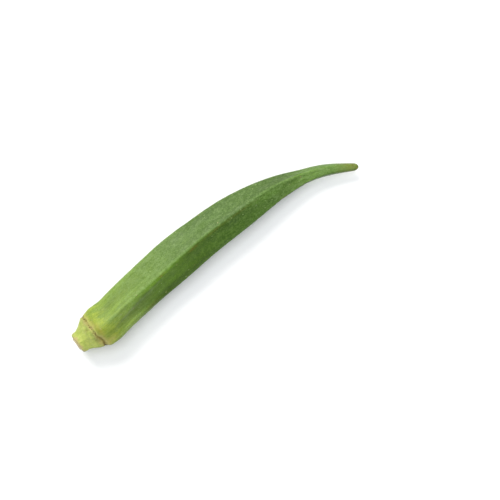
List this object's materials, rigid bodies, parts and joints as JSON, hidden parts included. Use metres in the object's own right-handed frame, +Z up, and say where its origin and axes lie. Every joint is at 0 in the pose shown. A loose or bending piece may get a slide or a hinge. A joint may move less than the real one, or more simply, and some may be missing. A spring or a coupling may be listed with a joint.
{
  "type": "okra pod",
  "caption": "Slim, gently curved five-ridged green pod with an angular pale cap, a brown calyx scar, a cut stem end and a long blunt tip, lying on one face.",
  "frame": {"origin": "on the surface that the pod lies on, under the middle of its bounding box", "axes": "+X along the pod from the cut stem to the tip, +Y towards the outer side of its curve, +Z up from the surface it lies on"},
  "size_m": [0.126, 0.0242, 0.0156],
  "materials": {
    "pod_skin": "satin, finely downy green skin",
    "cap_skin": "satin, pale yellow-green skin of the cap",
    "calyx_scar": "dull brown dried scar",
    "cut_stem": "dull tan dried cut"
  },
  "bodies": {
    "root": {"okra_pod": "pod_skin"}
  },
  "joints": []
}
